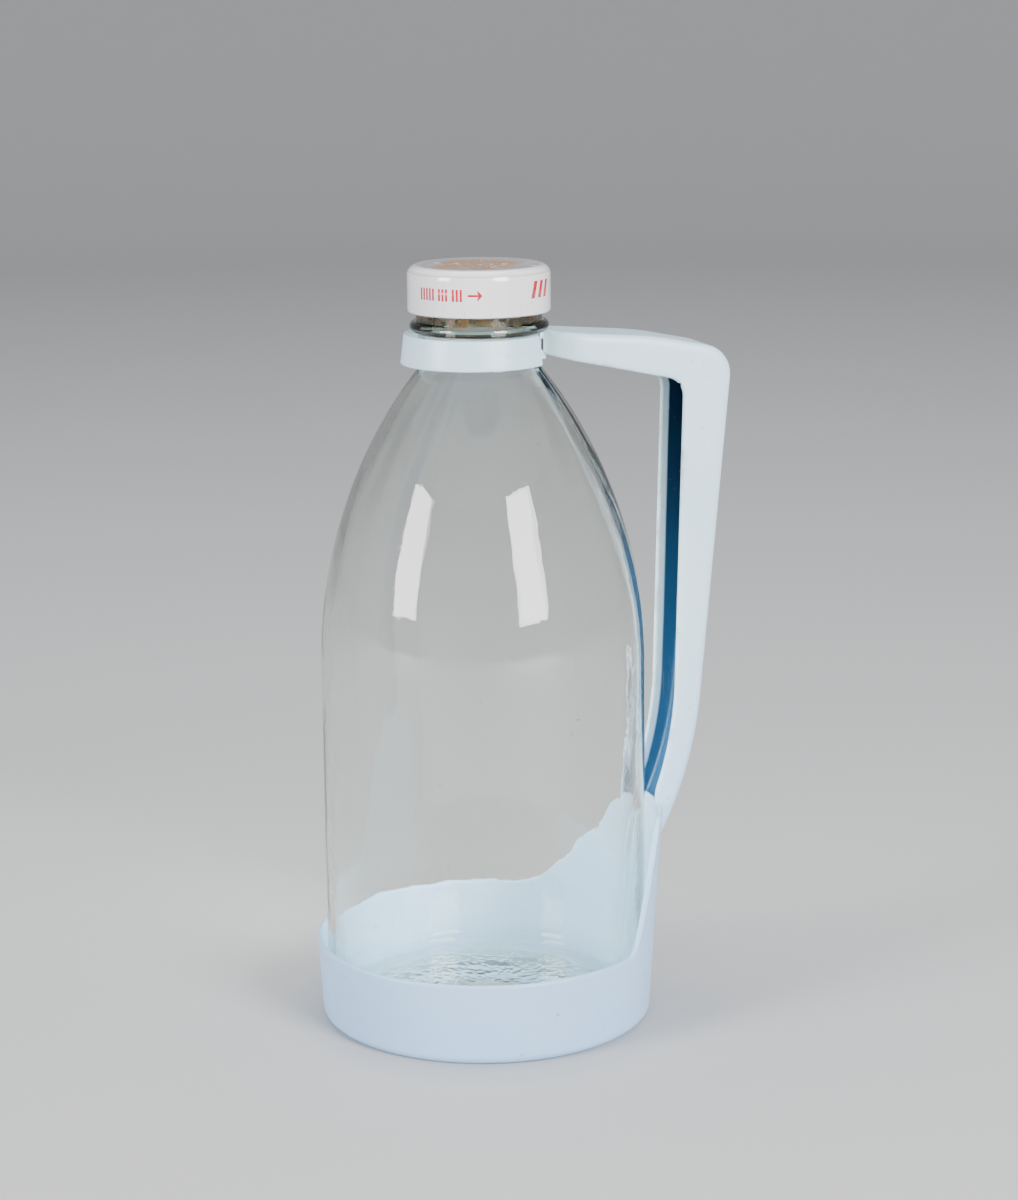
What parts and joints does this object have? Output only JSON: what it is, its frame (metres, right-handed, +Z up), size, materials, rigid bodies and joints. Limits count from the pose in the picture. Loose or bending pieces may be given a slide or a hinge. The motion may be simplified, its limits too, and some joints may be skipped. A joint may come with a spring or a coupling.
{
  "type": "milk bottle carrier",
  "caption": "Clear glass milk bottle with a twist-off tinplate cap, standing in a moulded plastic carrier with a cup, an open channel handle and a split collar on the neck.",
  "frame": {"origin": "on the bottle's axis, at the underside of the carrier's floor, in the middle of the drain hole", "axes": "+Z up along the bottle, +X from the bottle towards the handle, +Y to the left when looking along +X"},
  "size_m": [0.1531, 0.124, 0.2759],
  "materials": {
    "carrier_plastic": "light blue moulded plastic, semi-gloss, slightly translucent",
    "bottle_glass": "clear pressed and blown glass with seeds, ripple and light scuffs",
    "cap_lacquer": "white lacquered tinplate, gloss, worn to metal and rust on top",
    "liner_board": "grey-brown pulpboard",
    "liner_facing": "waxed paper"
  },
  "bodies": {
    "carrier": {"cup_wall": "carrier_plastic", "cup_floor": "carrier_plastic", "back_tongue": "carrier_plastic", "foot_web": "carrier_plastic", "foot_side_near": "carrier_plastic", "foot_side_far": "carrier_plastic", "grip_web": "carrier_plastic", "grip_side_near": "carrier_plastic", "grip_side_far": "carrier_plastic", "arm_web": "carrier_plastic", "arm_side_near": "carrier_plastic", "arm_side_far": "carrier_plastic", "arm_bend": "carrier_plastic", "collar_fixed": "carrier_plastic"},
    "collar": {"collar_clip": "carrier_plastic"},
    "bottle": {"bottle_base": "bottle_glass", "bottle_body": "bottle_glass", "bottle_shoulder": "bottle_glass", "bottle_finish": "bottle_glass"},
    "liner": {"liner_facing": "liner_facing", "liner_board": "liner_board"},
    "cap": {"cap_shell": "cap_lacquer"}
  },
  "joints": [
    {"name": "bottle_spin", "type": "hinge", "parent": "carrier", "child": "bottle", "pos_m": [0, 0, 0.15], "axis": [0, 0, 1], "continuous": true},
    {"name": "collar_flex", "type": "hinge", "parent": "carrier", "child": "collar", "pos_m": [-0.0281, 0, 0.2468], "axis": [0, 0, -1], "range_deg": [0, 10], "stiffness_Nm_per_rad": 1.5},
    {"name": "cap_rise", "type": "slide", "parent": "bottle", "child": "liner", "axis": [0, 0, 1], "range_m": [0, 0.021]},
    {"name": "cap_twist", "type": "hinge", "parent": "liner", "child": "cap", "pos_m": [0, 0, 0.27], "axis": [0, 0, 1], "range_deg": [0, 540]}
  ],
  "couplings": [
    {"joint": "cap_twist", "follows": "cap_rise", "rad_per_m": 448.79}
  ]
}
